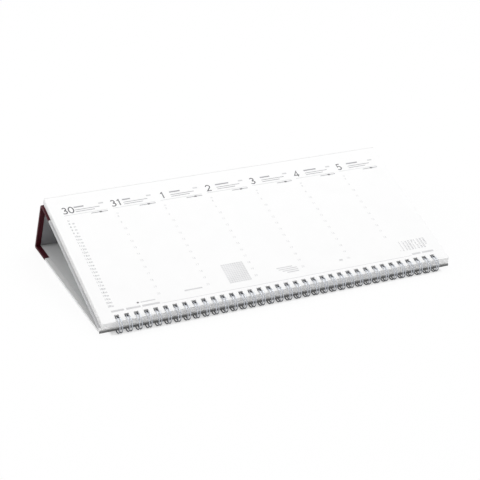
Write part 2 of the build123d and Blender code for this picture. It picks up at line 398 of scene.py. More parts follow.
def punched_sheet(name, thickness, over):
    """Sheet of the leaves' size with its row of holes, its top face at a height over the top leaf."""
    leaf = settings().leaf
    first = -leaf.hole_pitch * (leaf.hole_count - 1) / 2
    across = [-leaf.width / 2]
    for index in range(leaf.hole_count):
        middle = first + index * leaf.hole_pitch
        across += [middle - leaf.hole_width / 2, middle + leaf.hole_width / 2]
    across.append(leaf.width / 2)
    up = [0.0, leaf.hole_centre - leaf.hole_length / 2, leaf.hole_centre + leaf.hole_length / 2, leaf.depth]
    shape = bmesh.new()
    place = leaf_matrix(over)
    top = [[shape.verts.new(place @ Vector((x, u, 0.0))) for u in up] for x in across]
    bottom = [[shape.verts.new(place @ Vector((x, u, -thickness))) for u in up] for x in across]
    cells = {
        (column, row)
        for column in range(len(across) - 1)
        for row in range(len(up) - 1)
        if not (row == 1 and column % 2 == 1)
    }
    for column, row in sorted(cells):
        corners = ((column, row), (column + 1, row), (column + 1, row + 1), (column, row + 1))
        shape.faces.new([top[c][r] for c, r in corners])
        shape.faces.new([bottom[c][r] for c, r in reversed(corners)])
        neighbours = ((column, row - 1), (column + 1, row), (column, row + 1), (column - 1, row))
        for side, neighbour in enumerate(neighbours):
            if neighbour not in cells:
                (c0, r0), (c1, r1) = corners[side], corners[(side + 1) % 4]
                shape.faces.new((bottom[c0][r0], bottom[c1][r1], top[c1][r1], top[c0][r0]))
    return mesh_from_bmesh(name, shape)


# Node trees

class NodeMaker:
    """Adds nodes to one tree."""

    def __init__(self, tree):
        self.tree = tree

    def feed(self, socket, value):
        """Links a socket to another node's output, or sets its plain value."""
        if isinstance(value, bpy.types.NodeSocket):
            self.tree.links.new(value, socket)
        else:
            socket.default_value = value

    def node(self, kind, feeds=None, **choices):
        """Adds a node with its choices and what feeds it, and returns its outputs."""
        made = self.tree.nodes.new(kind)
        for choice, value in choices.items():
            setattr(made, choice, value)
        for label, value in (feeds or {}).items():
            self.feed(made.inputs[label], value)
        return made.outputs

    def math(self, operation, *values):
        """Result of a Math node."""
        return self.node("ShaderNodeMath", dict(enumerate(values)), operation=operation)[0]

    def place(self):
        """Object coordinates."""
        return self.node("ShaderNodeTexCoord")["Object"]

    def noise(self, place, scale, detail, **more):
        """Outputs of a noise texture."""
        return self.node("ShaderNodeTexNoise", {"Vector": place, "Scale": scale, "Detail": detail, **more})

    def spread(self, value, first, last):
        """Spreads a value from 0 to 1 between two others."""
        return self.node("ShaderNodeMapRange", {"Value": value, "To Min": first, "To Max": last})["Result"]

    def lighten(self, colour, value):
        """Colour with its brightness multiplied."""
        return self.node("ShaderNodeHueSaturation", {"Color": colour, "Value": value})["Color"]

    def mix(self, mask, first, second):
        """Mix of two colours by a mask."""
        feeds = {"Factor": mask, "A": first, "B": second}
        return self.node("ShaderNodeMix", feeds, data_type="RGBA")["Result"]


class GroupMaker(NodeMaker):
    """Node group with named inputs and outputs."""

    def __init__(self, kind, name, inputs, outputs):
        super().__init__(bpy.data.node_groups.new(name, kind))
        self.sockets = self.face("INPUT", inputs)
        self.face("OUTPUT", outputs)
        self.start = self.node("NodeGroupInput")

    def face(self, side, sockets):
        """Adds the group's own inputs or outputs, and returns their identifiers."""
        add = self.tree.interface.new_socket
        return {
            label: add(label, in_out=side, socket_type=f"NodeSocket{kind}").identifier
            for label, kind in sockets.items()
        }

    def end(self, feeds):
        """Feeds the group's outputs, and returns its tree."""
        self.node("NodeGroupOutput", feeds)
        return self.tree


class TreeMaker(GroupMaker):
    """Geometry Nodes tree, which ends in Realize Instances and Set Material."""

    def __init__(self, name, **inputs):
        inputs = {"Geometry": "Geometry", **inputs, "Material": "Material"}
        super().__init__("GeometryNodeTree", name, inputs, {"Geometry": "Geometry"})

    def carried(self, name):
        """Vector that each point carries under a name."""
        kind = "GeometryNodeInputNamedAttribute"
        return self.node(kind, {"Name": name}, data_type="FLOAT_VECTOR")["Attribute"]

    def along_x(self, value):
        """Vector with a value as its X."""
        return self.node("ShaderNodeCombineXYZ", {"X": value})["Vector"]

    def row(self, count, step):
        """Points in a straight row."""
        return self.node("GeometryNodeMeshLine", {"Count": count, "Offset": step}, mode="OFFSET")["Mesh"]

    def copies(self, points, shape, **more):
        """Copies of a shape on points."""
        feeds = {"Points": points, "Instance": shape, **more}
        return self.node("GeometryNodeInstanceOnPoints", feeds)["Instances"]

    def real(self, geometry):
        """Geometry with its instances made real."""
        return self.node("GeometryNodeRealizeInstances", {"Geometry": geometry})["Geometry"]

    def close(self, geometry):
        """Ends the tree."""
        feeds = {"Geometry": self.real(geometry), "Material": self.start["Material"]}
        self.end({"Geometry": self.node("GeometryNodeSetMaterial", feeds)["Geometry"]})
        return self

    def run(self, piece, values):
        """Applies the tree to a piece with these input values."""
        modifier = piece.modifiers.new(self.tree.name, "NODES")
        modifier.node_group = self.tree
        for label, value in values.items():
            modifier[self.sockets[label]] = value
        piece.update_tag()
        keep_result(piece)


def stack_tree():
    """Tree that stacks copies of one sheet, each a little astray."""
    maker = TreeMaker("sheet_stack", Sheets="Int", Step="Vector", Slope="Float", Stray="Vector", Seed="Int")
    start = maker.start
    least = maker.node("ShaderNodeVectorMath", {0: start["Stray"], "Scale": -1.0}, operation="SCALE")[0]
    limits = {"Min": least, "Max": start["Stray"], "Seed": start["Seed"]}
    chance = maker.node("FunctionNodeRandomValue", limits, data_type="FLOAT_VECTOR")["Value"]
    turn = {"Vector": chance, "Angle": start["Slope"]}
    astray = maker.node("ShaderNodeVectorRotate", turn, rotation_type="X_AXIS")["Vector"]
    moved = {"Geometry": maker.row(start["Sheets"], start["Step"]), "Offset": astray}
    places = maker.node("GeometryNodeSetPosition", moved)["Geometry"]
    return maker.close(maker.copies(places, start["Geometry"]))


def bar_tree():
    """Tree that sets a flat printed bar on every point, with the size that the point carries."""
    maker = TreeMaker("printed_bars", Slope="Float")
    start = maker.start
    block = maker.node("GeometryNodeMeshCube", {"Size": (1.0, 1.0, 1.0)})["Mesh"]
    turn = maker.along_x(start["Slope"])
    return maker.close(maker.copies(start["Geometry"], block, Rotation=turn, Scale=maker.carried("bar_size")))


def wire_tree():
    """Tree that sweeps a wire along one finger and repeats it along the binding."""
    maker = TreeMaker("wire_fingers", Fingers="Int", Pitch="Float", Radius="Float", Sides="Int", Weld="Float")
    start = maker.start
    path = maker.node("GeometryNodeMeshToCurve", {"Mesh": start["Geometry"]})["Curve"]
    facing = {"Curve": path, "Normal": maker.carried("radial")}
    upright = maker.node("GeometryNodeSetCurveNormal", facing, mode="FREE")["Curve"]
    circle = {"Radius": start["Radius"], "Resolution": start["Sides"]}
    round_wire = maker.node("GeometryNodeCurvePrimitiveCircle", circle)["Curve"]
    swept = maker.node("GeometryNodeCurveToMesh", {"Curve": upright, "Profile Curve": round_wire})["Mesh"]
    places = maker.row(start["Fingers"], maker.along_x(start["Pitch"]))
    together = maker.real(maker.copies(places, swept))
    weld = {"Geometry": together, "Distance": start["Weld"]}
    return maker.close(maker.node("GeometryNodeMergeByDistance", weld)["Geometry"])


# Materials

def fibre_group(name):
    """Paper fibres: a tint broken up by fine fibres and faint clouds, with their height and gloss."""
    maker = GroupMaker(
        "ShaderNodeTree", name, {"Tint": "Color", "Fineness": "Float", "Contrast": "Float", "Gloss": "Float"},
        {"Colour": "Color", "Height": "Float", "Roughness": "Float"})
    start = maker.start
    place = maker.place()
    fibres = maker.noise(place, scale=start["Fineness"], detail=6.0, Roughness=0.7, Distortion=1.2)["Fac"]
    cloud_share = 0.02
    cloud_scale = maker.math("MULTIPLY", start["Fineness"], cloud_share)
    clouds = maker.noise(place, scale=cloud_scale, detail=3.0)["Fac"]
    centred = maker.math("SUBTRACT", maker.math("ADD", fibres, clouds), 1.0)
    swing = maker.math("MULTIPLY_ADD", centred, start["Contrast"], 1.0)
    gloss_swing = 0.16
    return maker.end({
        "Colour": maker.lighten(start["Tint"], swing),
        "Height": fibres,
        "Roughness": maker.math("MULTIPLY_ADD", fibres, gloss_swing, start["Gloss"]),
    })


def band_group(name):
    """Mask of a band beyond a line: 0 before its start and 1 after its end, measured along a direction."""
    inputs = {"Direction": "Vector", "Start": "Float", "End": "Float"}
    maker = GroupMaker("ShaderNodeTree", name, inputs, {"Mask": "Float"})
    start = maker.start
    product = {0: maker.place(), 1: start["Direction"]}
    along = maker.node("ShaderNodeVectorMath", product, operation="DOT_PRODUCT")["Value"]
    limits = {"Value": along, "From Min": start["Start"], "From Max": start["End"]}
    mask = maker.node("ShaderNodeMapRange", limits, interpolation_type="SMOOTHSTEP")["Result"]
    return maker.end({"Mask": mask})


EFFECTS = {"Paper Fibre": fibre_group, "Edge Band": band_group}


class Shading(NodeMaker):
    """One material with its Principled shader."""

    def __init__(self, name):
        self.material = bpy.data.materials.new(name)
        self.material.use_nodes = True
        super().__init__(self.material.node_tree)
        self.shader = self.tree.nodes["Principled BSDF"]

    def effect(self, name, feeds):
        """Outputs of a shared effect, which is built the first time that a material asks for it."""
        tree = bpy.data.node_groups.get(name) or EFFECTS[name](name)
        return self.node("ShaderNodeGroup", feeds, node_tree=tree)

    def band(self, direction, start, end):
        """Mask of an edge band."""
        return self.effect("Edge Band", {"Direction": direction, "Start": start, "End": end})["Mask"]

    def surface(self, feeds):
        """Feeds the Principled shader."""
        for label, value in feeds.items():
            self.feed(self.shader.inputs[label], value)

    def bump(self, height, distance, strength):
        """Feeds a height into the shader's normal."""
        feeds = {"Strength": strength, "Distance": distance, "Height": height}
        self.surface({"Normal": self.node("ShaderNodeBump", feeds)["Normal"]})


def opaque(colour):
    """Colour with full alpha."""
    return (*colour, 1.0)


def edge_band(direction, edge, reach, tint):
    """Another tint inside an edge: its direction, where it starts, where it is full, and the tint."""
    start, full = reach
    return direction, edge - start * MM, edge - full * MM, tint


def paper_material(name, tint, feel, edge=None):
    """Paper or card: fibres in colour, gloss and relief, and another tint inside an edge if one is given."""
    fineness, contrast, gloss, relief = PAPER_FEELS[feel]
    values = {"Fineness": fineness, "Contrast": contrast, "Gloss": gloss}
    shading = Shading(name)
    fibres = shading.effect("Paper Fibre", {"Tint": opaque(tint), **values})
    colour = fibres["Colour"]
    if edge is not None:
        direction, start, end, edge_tint = edge
        tinted = shading.effect("Paper Fibre", {"Tint": opaque(edge_tint), **values})
        colour = shading.mix(shading.band(direction, start, end), colour, tinted["Colour"])
    shading.surface({"Base Color": colour, "Roughness": fibres["Roughness"], "Specular IOR Level": 0.3})
    shading.bump(fibres["Height"], distance=relief, strength=0.6)
    return shading.material


def cloth_material():
    """Book cloth pressed with a leather grain, rubbed along its folds."""
    finish = settings().finish
    shading = Shading("grained_cloth")
    place = shading.place()
    reach = (0.0008, 0.0008, 0.0008)
    wander = {0: shading.noise(place, scale=500.0, detail=3.0)["Color"], 1: reach, 2: place}
    bent = shading.node("ShaderNodeVectorMath", wander, operation="MULTIPLY_ADD")[0]
    cells = {"Vector": bent, "Scale": 900.0}
    grain = shading.node("ShaderNodeTexVoronoi", cells, feature="DISTANCE_TO_EDGE")["Distance"]
    limits = {"Value": grain, "From Max": 0.28}
    pebble = shading.node("ShaderNodeMapRange", limits, interpolation_type="SMOOTHSTEP")["Result"]
    patches = shading.noise(place, scale=35.0, detail=4.0)["Fac"]
    dyed = shading.lighten(opaque(finish.cloth_red), shading.spread(patches, first=0.72, last=1.2))
    worn = shading.node("ShaderNodeAttribute", attribute_name="fold_wear")["Fac"]
    wear_and_shade = shading.math("MULTIPLY", shading.math("MULTIPLY", worn, pebble), patches)
    shading.surface({
        "Base Color": shading.mix(wear_and_shade, dyed, opaque(finish.cloth_worn)),
        "Roughness": shading.spread(pebble, first=0.68, last=0.42),
        "Specular IOR Level": 0.2,
    })
    shading.bump(pebble, distance=0.00006, strength=0.7)
    return shading.material


def wire_material():
    """Silver coated wire with fine drawing marks, darkened with painted shade near the desk and inside the
    holes.
    """
    finish, wire = settings().finish, settings().wire
    shading = Shading("wire_silver")
    marks = shading.noise(shading.place(), scale=1800.0, detail=4.0)["Fac"]
    # Painted shade: the wire turns dark near the desk and behind the rings' axis, inside the holes
    feet = shading.band((0.0, 0.0, -1.0), -wire.ring_z, -WIRE_SHADE_FOOT * MM)
    start, end = (wire.ring_y + reach * MM for reach in WIRE_SHADE_BAND)
    wear_and_shade = shading.math("MAXIMUM", feet, shading.band((0.0, 1.0, 0.0), start, end))
    metal = shading.mix(wear_and_shade, opaque(finish.wire_silver), opaque(finish.wire_rubbed))
    shading.surface({
        "Base Color": shading.lighten(metal, shading.spread(marks, first=0.88, last=1.08)),
        "Roughness": shading.spread(marks, first=0.20, last=0.36),
        "Metallic": 1.0,
    })
    shading.bump(marks, distance=0.00001, strength=0.4)
    return shading.material


# Print

def digit_strokes(step):
    """Strokes of the digits in a cell one unit high, their bows stepped by an angle in degrees."""
    def bow(x, y, wide, tall, first, last):
        """Points of an oval arc between two angles in degrees."""
        count = math.ceil(abs(last - first) / step)
        angles = [math.radians(first + (last - first) * index / count) for index in range(count + 1)]
        return [(x + wide * math.cos(angle), y + tall * math.sin(angle)) for angle in angles]

    return {
        "0": [bow(0.32, 0.5, 0.27, 0.45, 90, 450)],
        "1": [[(0.10, 0.78), (0.30, 0.95), (0.30, 0.05)]],
        "2": [bow(0.30, 0.70, 0.23, 0.25, 170, -35) + [(0.06, 0.05), (0.56, 0.05)]],
        "3": [bow(0.27, 0.73, 0.20, 0.22, 150, -90) + bow(0.27, 0.28, 0.26, 0.23, 90, -145)],
        "4": [[(0.46, 0.05), (0.46, 0.95), (0.05, 0.28), (0.62, 0.28)]],
        "5": [[(0.50, 0.95), (0.17, 0.95), (0.12, 0.53)] + bow(0.27, 0.33, 0.26, 0.28, 120, -145)],
        "6": [[(0.42, 0.95), (0.12, 0.47)], bow(0.32, 0.30, 0.25, 0.25, 0, 360)],
        "7": [[(0.06, 0.95), (0.56, 0.95), (0.20, 0.05)]],
        "8": [bow(0.31, 0.73, 0.19, 0.22, 0, 360), bow(0.31, 0.28, 0.25, 0.23, 0, 360)],
        "9": [[(0.22, 0.05), (0.52, 0.53)], bow(0.32, 0.70, 0.25, 0.25, 0, 360)],
    }


class Page:
    """Face of one leaf: its dates, what carries it, and the place and thickness of its ink."""

    def __init__(self, prefix, dates, body, over, ink):
        self.prefix, self.dates, self.body, self.ink = prefix, dates, body, ink
        self.place = leaf_matrix(over + ink * INK_LIFT)

    def piece(self, name, mesh):
        """Piece that is printed on this page."""
        return new_piece(self.prefix + name, mesh)


class NumberPress:
    """Collects printed numbers on a page into one mesh."""

    section_points = 4

    def __init__(self, page, step):
        self.page = page
        self.digits = digit_strokes(step)
        self.points = []
        self.faces = []

    def stroke(self, path, width, place):
        """Prints one flat stroke along a path, joined to itself where the path closes."""
        loop = (path[0] - path[-1]).length < width / 2
        before = path[-2] if loop else 2 * path[0] - path[1]
        after = path[1] if loop else 2 * path[-1] - path[-2]
        padded = [before, *path, after]
        corners = path[:-1] if loop else path
        first = len(self.points)
        for back, point, ahead in zip(padded, corners, padded[2:]):
            arrive = (point - back).normalized()
            along = (arrive + (ahead - point).normalized()).normalized()
            reach = width / 2 / max(along.dot(arrive), LEAST_MITRE)
            aside = Vector((-along.y, along.x)) * reach
            for flat in (point + aside, point - aside):
                for over in (self.page.ink / 2, -self.page.ink / 2):
                    self.points.append(place @ Vector((flat.x, flat.y, over)))
        for index in range(len(path) - 1):
            near = first + self.section_points * index
            far = first + self.section_points * ((index + 1) % len(corners))
            for a, b in ((0, 2), (2, 3), (3, 1), (1, 0)):
                self.faces.append((near + a, near + b, far + b, far + a))
        if not loop:
            last = first + self.section_points * (len(path) - 1)
            self.faces.append((first, first + 1, first + 3, first + 2))
            self.faces.append((last, last + 2, last + 3, last + 1))

    def stamp(self, number, height, across, foot, weight):
        """Prints a number with its left foot at a place on the leaf, its strokes a share of its height."""
        for index, digit in enumerate(number):
            left = across + index * DIGIT_STEP * height
            place = self.page.place @ Matrix.Translation((left, foot, 0.0))
            for path in self.digits[digit]:
                self.stroke([Vector(point) * height for point in path], weight * height, place)

    def piece(self, name, material):
        """Finished piece with all the numbers stamped so far."""
        mesh = bpy.data.meshes.new(name)
        mesh.from_pydata(self.points, [], self.faces)
        mesh.materials.append(material)
        mesh.update()
        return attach(self.page.piece(name, mesh), self.page.body)


def bars_piece(page, tree, name, bars, material):
    """Finished piece with plain printed bars, given in millimetres."""
    middles = [
        page.place @ Vector(((start + length / 2) * MM, (foot + height / 2) * MM, 0.0))
        for start, foot, length, height in bars
    ]
    mesh = bpy.data.meshes.new(name)
    mesh.from_pydata(middles, [], [])
    sizes = mesh.attributes.new("bar_size", "FLOAT_VECTOR", "POINT")
    for item, (_, _, length, height) in zip(sizes.data, bars):
        item.vector = (length * MM, height * MM, page.ink)
    piece = page.piece(name, mesh)
    tree.run(piece, {"Slope": settings().leaf.slope, "Material": material})
    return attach(piece, page.body)


def column_left(day):
    """Left edge of a day's column, in metres."""
    ink = settings().ink
    return ink.first_column + day * ink.column_pitch


def in_column(day, bars):
    """Bars of a day moved to its column, in millimetres."""
    left = column_left(day) / MM
    return [(left + start, foot, length, height) for start, foot, length, height in bars]


# Cloth

class ClothPath:
    """Section of the cloth, from the base round the heel, up the spine and over the crest to the top board.

    A panel is its corner, the direction along it and the direction into the stand.
    """

    def __init__(self, cloth, slope):
        self.cloth = cloth
        heel = Vector((cloth.heel_y, 0.0))
        crest = Vector((cloth.crest_y, cloth.crest_z))
        self.length = (crest - heel).length
        ahead = Vector((-math.cos(cloth.base_tilt), math.sin(cloth.base_tilt)))
        up = (crest - heel).normalized()
        down = Vector((-math.cos(slope), -math.sin(slope)))
        self.base = heel, ahead, Vector((ahead.y, -ahead.x))
        self.spine = heel, up, Vector((-up.y, up.x))
        self.top = crest, down, Vector((-down.y, down.x))
        self.heel_half = ahead.angle(up) / 2
        self.crest_half = down.angle(-up) / 2

    def groove(self, along, depth):
        """How far the cloth is pressed into the joint over the heel."""
        cloth = self.cloth
        share = abs(along - cloth.groove_place) / cloth.groove_reach
        if share >= 1.0 or depth > 2 * cloth.thickness:
            return 0.0
        return cloth.groove * math.cos(share * math.pi / 2) ** 2

    def on_panel(self, panel, along, depth):
        """Point of a panel, kept clear of the mitres at its corners."""
        origin, direction, inward = panel
        low = depth / math.tan(self.crest_half if panel is self.top else self.heel_half)
        place = max(along, low)
        dip = 0.0
        if panel is self.spine:
            place = min(place, self.length - depth / math.tan(self.crest_half))
            dip = self.groove(along, depth)
        return origin + direction * place + inward * (depth + dip)

    def on_fold(self, before, after, half, radius, share, depth):
        """Point of a fold between two panels, a share of the way round it."""
        origin, direction, inward = before
        if depth >= radius:
            return origin + direction * (depth / math.tan(half)) + inward * depth
        centre = origin + direction * (radius / math.tan(half)) + inward * radius
        out = -inward
        turn = -out.angle_signed(-after[2]) * share
        arm = Vector((out.x * math.cos(turn) - out.y * math.sin(turn),
                      out.x * math.sin(turn) + out.y * math.cos(turn)))
        return centre + arm * (radius - depth)

    def row(self, depth):
        """Points along the cloth at one depth, each with its wear."""
        cloth = self.cloth
        heel_start = cloth.heel_radius / math.tan(self.heel_half)
        crest_start = cloth.crest_radius / math.tan(self.crest_half)
        back_spine = (self.top[0], -self.spine[1], self.spine[2])
        near = [(away * MM, NEAR_WEAR / (1 + away)) for away in NEAR_FOLD]

        def fold(before, after, half, radius, steps):
            """Points round one fold."""
            shares = [step / steps for step in range(steps + 1)]
            return [(self.on_fold(before, after, half, radius, share, depth), FOLD_WEAR) for share in shares]

        def flat(panel, places):
            """Points of one panel."""
            return [(self.on_panel(panel, along, depth), wear) for along, wear in places]

        points = flat(self.base, [(cloth.on_base, EDGE_WEAR)])
        points += flat(self.base, [(heel_start + away, wear) for away, wear in near])
        points += fold(self.base, self.spine, self.heel_half, cloth.heel_radius, HEEL_STEPS)
        for step in range(1, GROOVE_STEPS + 1):
            along = cloth.groove_place + cloth.groove_reach * (2 * step / GROOVE_STEPS - 1)
            points += flat(self.spine, [(along, GROOVE_WEAR - step * GROOVE_FALL)])
        points += flat(self.spine, [(self.length * share, 0.0) for share in SPINE_SHARES])
        points += flat(self.spine, [(self.length - crest_start - away, wear) for away, wear in near])
        points += fold(back_spine, self.top, self.crest_half, cloth.crest_radius, CREST_STEPS)
        points += flat(self.top, [(crest_start + away, wear) for away, wear in reversed(near)])
        points += flat(self.top, [(cloth.on_top, EDGE_WEAR)])
        return points


def cloth_section(cloth):
    """Closed section across the cloth as (across, depth), with soft folds at its turned-in ends."""
    half, soft, thick, deep = cloth.width / 2, cloth.fold_radius, cloth.thickness, cloth.folded
    right = []
    for depth, first in ((soft, -90.0), (deep - soft, 0.0)):
        for step in range(END_STEPS + 1):
            angle = math.radians(first + 90.0 * step / END_STEPS)
            right.append((half - soft + soft * math.cos(angle), depth + soft * math.sin(angle)))
    right += [
        (half - cloth.turn_in, deep), (half - cloth.turn_in, deep - thick),
        (half - thick, deep - thick), (half - thick, thick),
    ]
    return right + [(-across, depth) for across, depth in reversed(right)]


# Operators

class CALENDAR_OT_leaves(bpy.types.Operator):
    """Lay the year's leaves, the backing card and the week's leaf"""
    bl_idname = "calendar.leaves"
    bl_label = "Leaves"

    def execute(self, context):
        leaf, finish = settings().leaf, settings().finish
        paper = paper_material("writing_paper", finish.leaf_white, "leaf")
        up = (0.0, math.cos(leaf.slope), math.sin(leaf.slope))
        back = leaf.front_y * up[1] + leaf.front_z * up[2] + leaf.depth
        # Painted shade: a grey band along the back edge of the week's leaf
        wear_and_shade = edge_band(up, back, LEAF_SHADE_BAND, finish.leaf_edge)
        dress(WEEK, paper_material("week_paper", finish.leaf_white, "leaf", wear_and_shade))
        stack = stack_tree()
        down = Matrix.Rotation(leaf.slope, 3, "X") @ Vector((0.0, 0.0, -leaf.pitch))
        first = 1
        for seed, (month, count) in enumerate(MONTH_LEAVES.items()):
            name = f"{month}_leaves"
            piece = new_piece(name, punched_sheet(name, leaf.thickness, -first * leaf.pitch))
            stack.run(piece, {
                "Sheets": count, "Step": down, "Slope": leaf.slope, "Seed": seed,
                "Stray": (leaf.stray_across, leaf.stray_up, 0.0), "Material": paper,
            })
            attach(piece, STAND)
            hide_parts(f"leaves_{month}")
            first += count
        dress("backing_card", paper_material("plain_card", finish.card_white, "card"))
        return {"FINISHED"}


class CALENDAR_OT_leaf_print(bpy.types.Operator):
    """Print dates, hours, plain lines and small months on the week's leaf and on the next"""
    bl_idname = "calendar.leaf_print"
    bl_label = "Leaf print"

    def stamp_hours(self, press, day):
        """Prints the hours of one day, in the first column with their minutes and half hours."""
        ink = settings().ink
        across = column_left(day) + HOUR_INSET * MM
        beside = column_left(day) + ink.minute_step
        half = ink.hour_pitch / 2
        press.stamp(HALF_HOUR, ink.minute_height, across, ink.hour_foot + half, ink.hour_weight)
        for row in range(SHORT_HOUR_ROWS if day == DAYS_IN_WEEK - 1 else HOUR_ROWS):
            foot = ink.hour_foot - row * ink.hour_pitch
            hour = str(FIRST_HOUR + row)
            press.stamp(hour, ink.hour_height, across, foot, ink.hour_weight)
            if day == 0:
                press.stamp(FULL_HOUR, ink.minute_height, beside, foot, ink.hour_weight)
                press.stamp(hour, ink.hour_height, across, foot - half, ink.hour_weight)
                press.stamp(HALF_HOUR, ink.minute_height, beside, foot - half, ink.hour_weight)

    def stamp_months(self, press):
        """Prints two small months as one running grid, a column for each week."""
        ink, months = settings().ink, SMALL_MONTHS
        days = [day for count in months["days"] for day in range(1, count + 1)]
        for cell, day in enumerate(days, months["first_cell"]):
            week, row = divmod(cell, DAYS_IN_WEEK)
            across = (months["left"] + week * months["column"]) * MM
            foot = (months["top"] - row * months["row"]) * MM
            press.stamp(str(day), ink.day_height, across, foot, ink.day_weight)

    def print_page(self, page, tree, dark, grey, pale, faint):
        """Prints one page in four inks."""
        ink, field = settings().ink, SQUARE_FIELD
        dates, hours, pale_hours = (NumberPress(page, step) for step in (DATE_STEP, HOUR_STEP, HOUR_STEP))
        bars = []
        notes = [*NOTE_BARS, *FOOT_BARS]
        marks = [NOTE_MARK]
        for day, date in enumerate(page.dates):
            left = column_left(day) + DATE_SHIFTS[day] * MM
            dates.stamp(date, ink.date_height, left, ink.date_foot, ink.date_weight)
            self.stamp_hours(pale_hours if day else hours, day)
            start, foot, height = DAY_BAR
            bars += in_column(day, [(start, foot, DAY_BAR_LENGTHS[day], height), *HEADER_BARS])
            notes += in_column(day, PALE_HEADER_BARS)
            marks += in_column(day, [HEADER_MARK])
        self.stamp_months(hours)
        pitch, side = field["pitch"], field["side"]
        squares = [
            (field["left"] + column * pitch, field["foot"] + row * pitch, side, side)
            for column in range(field["columns"]) for row in range(field["rows"])
        ]
        dates.piece("date_numbers", dark)
        hours.piece("hour_numbers", grey)
        pale_hours.piece("pale_hour_numbers", pale)
        bars_piece(page, tree, "printed_lines", bars, grey)
        bars_piece(page, tree, "printed_notes", notes, pale)
        bars_piece(page, tree, "printed_marks", marks, dark)
        bars_piece(page, tree, "printed_squares", squares, faint)

    def execute(self, context):
        ink, finish = settings().ink, settings().finish
        names = ("ink_dark", "ink_grey", "ink_pale", "ink_faint")
        inks = [paper_material(name, getattr(finish, name), "ink") for name in names]
        tree = bar_tree()
        self.print_page(Page("", WEEK_DATES, WEEK, 0.0, ink.ink), tree, *inks)
        self.print_page(Page("next_", NEXT_DATES, STAND, -settings().leaf.pitch, ink.next_ink), tree, *inks)
        return {"FINISHED"}


class CALENDAR_OT_binding_wire(bpy.types.Operator):
    """Wind the twin-loop wire through the holes"""
    bl_idname = "calendar.binding_wire"
    bl_label = "Binding wire"

    ring_steps = 30
    bend_steps = 6
    tip_steps = 10
    wire_sides = 12
    weld_part = 100

    def ring_point(self, wire, across, angle, along):
        """Point of the wire's middle and the direction away from the rings' axis there."""
        away = Vector((0.0, math.cos(angle), math.sin(angle)))
        onward = Vector((0.0, -math.sin(angle), math.cos(angle)))
        axis = Vector((across, wire.ring_y, wire.ring_z))
        return axis + away * wire.ring_radius + onward * along, away

    def half_finger(self, wire, pitch):
        """Left half of a finger, from its straight run to its closed end: across, angle and along."""
        root, tip = wire.root_radius, wire.tip_radius
        first, last = wire.root_angle, wire.tip_angle
        rows = [(-pitch / 2, first, -root)]
        for step in range(self.bend_steps + 1):
            turn = math.pi / 2 * step / self.bend_steps
            rows.append((-(tip + root) + root * math.sin(turn), first, -root * math.cos(turn)))
        for step in range(1, self.ring_steps + 1):
            rows.append((-tip, first + (last - first) * step / self.ring_steps, 0.0))
        for step in range(1, self.tip_steps // 2):
            turn = math.pi * step / self.tip_steps
            rows.append((-tip * math.cos(turn), last, tip * math.sin(turn)))
        return rows

    def execute(self, context):
        wire, leaf = settings().wire, settings().leaf
        left = self.half_finger(wire, leaf.hole_pitch)
        middle = [(0.0, wire.tip_angle, wire.tip_radius)]
        right = [(-across, angle, along) for across, angle, along in reversed(left)]
        first = -leaf.hole_pitch * (leaf.hole_count - 1) / 2
        finger = left + middle + right
        path = [self.ring_point(wire, across + first, angle, along) for across, angle, along in finger]
        mesh = bpy.data.meshes.new("twin_loop_wire")
        mesh.from_pydata([point for point, _ in path], [(i, i + 1) for i in range(len(path) - 1)], [])
        radial = mesh.attributes.new("radial", "FLOAT_VECTOR", "POINT")
        for item, (_, away) in zip(radial.data, path):
            item.vector = away
        piece = new_piece("twin_loop_wire", mesh)
        wire_tree().run(piece, {
            "Fingers": leaf.hole_count, "Pitch": leaf.hole_pitch, "Radius": wire.diameter / 2,
            "Sides": self.wire_sides, "Weld": wire.diameter / self.weld_part, "Material": wire_material(),
        })
        shape = bmesh.new()
        shape.from_mesh(piece.data)
        bmesh.ops.holes_fill(shape, edges=[edge for edge in shape.edges if edge.is_boundary], sides=0)
        bmesh.ops.recalc_face_normals(shape, faces=shape.faces[:])
        shape.to_mesh(piece.data)
        shape.free()
        smooth_piece(piece, WIRE_CREASE)
        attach(piece, STAND)
        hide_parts("binding_wire")
        return {"FINISHED"}


class CALENDAR_OT_stand_papers(bpy.types.Operator):
    """Finish the boards, cover papers and linings of the stand"""
    bl_idname = "calendar.stand_papers"
    bl_label = "Stand papers"

    def execute(self, context):
        finish = settings().finish
        forward = (0.0, -1.0, 0.0)
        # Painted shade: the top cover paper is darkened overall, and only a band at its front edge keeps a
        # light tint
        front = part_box("top_cover_paper")[0].y
        edge = edge_band(forward, -front, TOP_EDGE_BAND, finish.front_edge)
        dress("top_cover_paper", paper_material("board_cover", finish.board_cover, "cover", edge))
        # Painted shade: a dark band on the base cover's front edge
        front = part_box("base_cover_paper")[0].y
        edge = edge_band(forward, -front, BASE_SHADE_BAND, finish.raw_edge)
        dress("base_cover_paper", paper_material("base_cover", finish.cover_grey, "cover", edge))
        lining = paper_material("lining_sheet", finish.lining_grey, "lining")
        dress("base_lining", lining)
        dress("top_lining", lining)
        # Painted shade: the spine lining is a darker copy of the lining paper
        dress("spine_lining", paper_material("spine_sheet", finish.spine_grey, "spine_lining"))
        board = paper_material("raw_board", finish.board_grey, "board")
        for panel in ("base", "spine", "top"):
            dress(f"{panel}_board", board)
        return {"FINISHED"}


